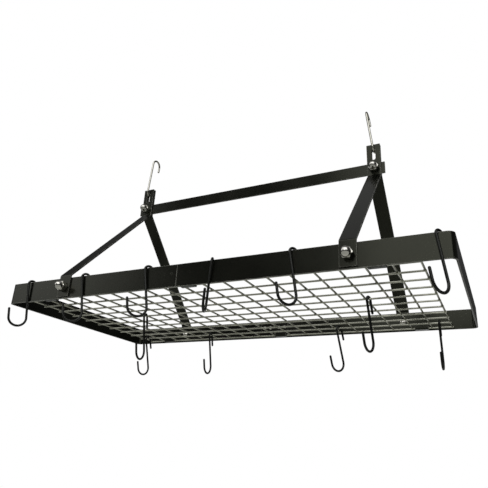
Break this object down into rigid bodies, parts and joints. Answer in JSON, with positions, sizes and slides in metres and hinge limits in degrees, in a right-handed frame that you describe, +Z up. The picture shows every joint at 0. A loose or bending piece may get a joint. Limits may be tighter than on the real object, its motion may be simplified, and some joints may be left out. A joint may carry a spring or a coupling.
{
  "type": "hanging pot rack",
  "caption": "Rectangular flat-bar hanging pot rack with a wire grid shelf, bent hanger straps, ceiling hooks and wire pot hooks.",
  "frame": {"origin": "midway between the two places where the ceiling hooks hang, at the inside top of their upper bends", "axes": "+X along the rack to the right, +Y from the front to the back, +Z up"},
  "size_m": [0.94, 0.544, 0.565],
  "materials": {
    "black_coat": "satin",
    "black_wire": "satin",
    "chrome": "polished",
    "chrome_wire": "polished",
    "grid_steel": "satin"
  },
  "bodies": {
    "ceiling_hooks": {"ceiling_hook_left": "chrome_wire", "ceiling_hook_right": "chrome_wire"},
    "rack": {"frame_left": "black_coat", "frame_right": "black_coat", "joiner_front": "black_coat", "joiner_back": "black_coat", "joiner_screws": "chrome", "clip_front_left": "black_coat", "clip_front_right": "black_coat", "clip_back_left": "black_coat", "clip_back_right": "black_coat", "grid_long_wires": "grid_steel", "grid_cross_wires": "grid_steel", "strap_front_left": "black_coat", "strap_front_right": "black_coat", "strap_back_left": "black_coat", "strap_back_right": "black_coat", "crossbar": "black_coat", "foot_bolts": "chrome", "foot_washers": "chrome", "foot_nuts": "chrome", "top_bolts": "chrome", "top_washers": "chrome", "top_nuts": "chrome"},
    "pot_hook_01": {"pot_hook_01": "black_wire"},
    "pot_hook_02": {"pot_hook_02": "black_wire"},
    "pot_hook_03": {"pot_hook_03": "black_wire"},
    "pot_hook_04": {"pot_hook_04": "black_wire"},
    "pot_hook_05": {"pot_hook_05": "black_wire"},
    "pot_hook_06": {"pot_hook_06": "black_wire"},
    "pot_hook_07": {"pot_hook_07": "black_wire"},
    "pot_hook_08": {"pot_hook_08": "black_wire"},
    "pot_hook_09": {"pot_hook_09": "black_wire"},
    "pot_hook_10": {"pot_hook_10": "black_wire"},
    "pot_hook_11": {"pot_hook_11": "black_wire"},
    "pot_hook_12": {"pot_hook_12": "black_wire"}
  },
  "joints": [
    {"name": "rack_swing", "type": "hinge", "parent": "ceiling_hooks", "child": "rack", "pos_m": [0, 0, -0.093], "axis": [1, 0, 0], "range_deg": [-12, 12]},
    {"name": "pot_hook_01_slide", "type": "slide", "parent": "rack", "child": "pot_hook_01", "axis": [1, 0, 0], "range_m": [-0.045, 0.08]},
    {"name": "pot_hook_02_slide", "type": "slide", "parent": "rack", "child": "pot_hook_02", "axis": [1, 0, 0], "range_m": [-0.024, 0.05]},
    {"name": "pot_hook_03_slide", "type": "slide", "parent": "rack", "child": "pot_hook_03", "axis": [1, 0, 0], "range_m": [-0.07, 0.018]},
    {"name": "pot_hook_04_slide", "type": "slide", "parent": "rack", "child": "pot_hook_04", "axis": [1, 0, 0], "range_m": [-0.028, 0.06]},
    {"name": "pot_hook_05_slide", "type": "slide", "parent": "rack", "child": "pot_hook_05", "axis": [1, 0, 0], "range_m": [-0.045, 0.07]},
    {"name": "pot_hook_06_slide", "type": "slide", "parent": "rack", "child": "pot_hook_06", "axis": [1, 0, 0], "range_m": [-0.11, 0.004]},
    {"name": "pot_hook_07_swing", "type": "hinge", "parent": "rack", "child": "pot_hook_07", "pos_m": [-0.23515, -0.0458, -0.45614], "axis": [1, 0, 0], "range_deg": [-20, 20]},
    {"name": "pot_hook_08_swing", "type": "hinge", "parent": "rack", "child": "pot_hook_08", "pos_m": [-0.3941, 0.1832, -0.45614], "axis": [1, 0, 0], "range_deg": [-20, 20]},
    {"name": "pot_hook_09_swing", "type": "hinge", "parent": "rack", "child": "pot_hook_09", "pos_m": [-0.18786, 0.1832, -0.45614], "axis": [1, 0, 0], "range_deg": [-20, 20]},
    {"name": "pot_hook_10_swing", "type": "hinge", "parent": "rack", "child": "pot_hook_10", "pos_m": [0.1664, 0.1832, -0.45614], "axis": [1, 0, 0], "range_deg": [-20, 20]},
    {"name": "pot_hook_11_swing", "type": "hinge", "parent": "rack", "child": "pot_hook_11", "pos_m": [0.29251, -0.0458, -0.45614], "axis": [1, 0, 0], "range_deg": [-20, 20]},
    {"name": "pot_hook_12_swing", "type": "hinge", "parent": "rack", "child": "pot_hook_12", "pos_m": [0.3941, 0.1832, -0.45614], "axis": [1, 0, 0], "range_deg": [-20, 20]}
  ]
}
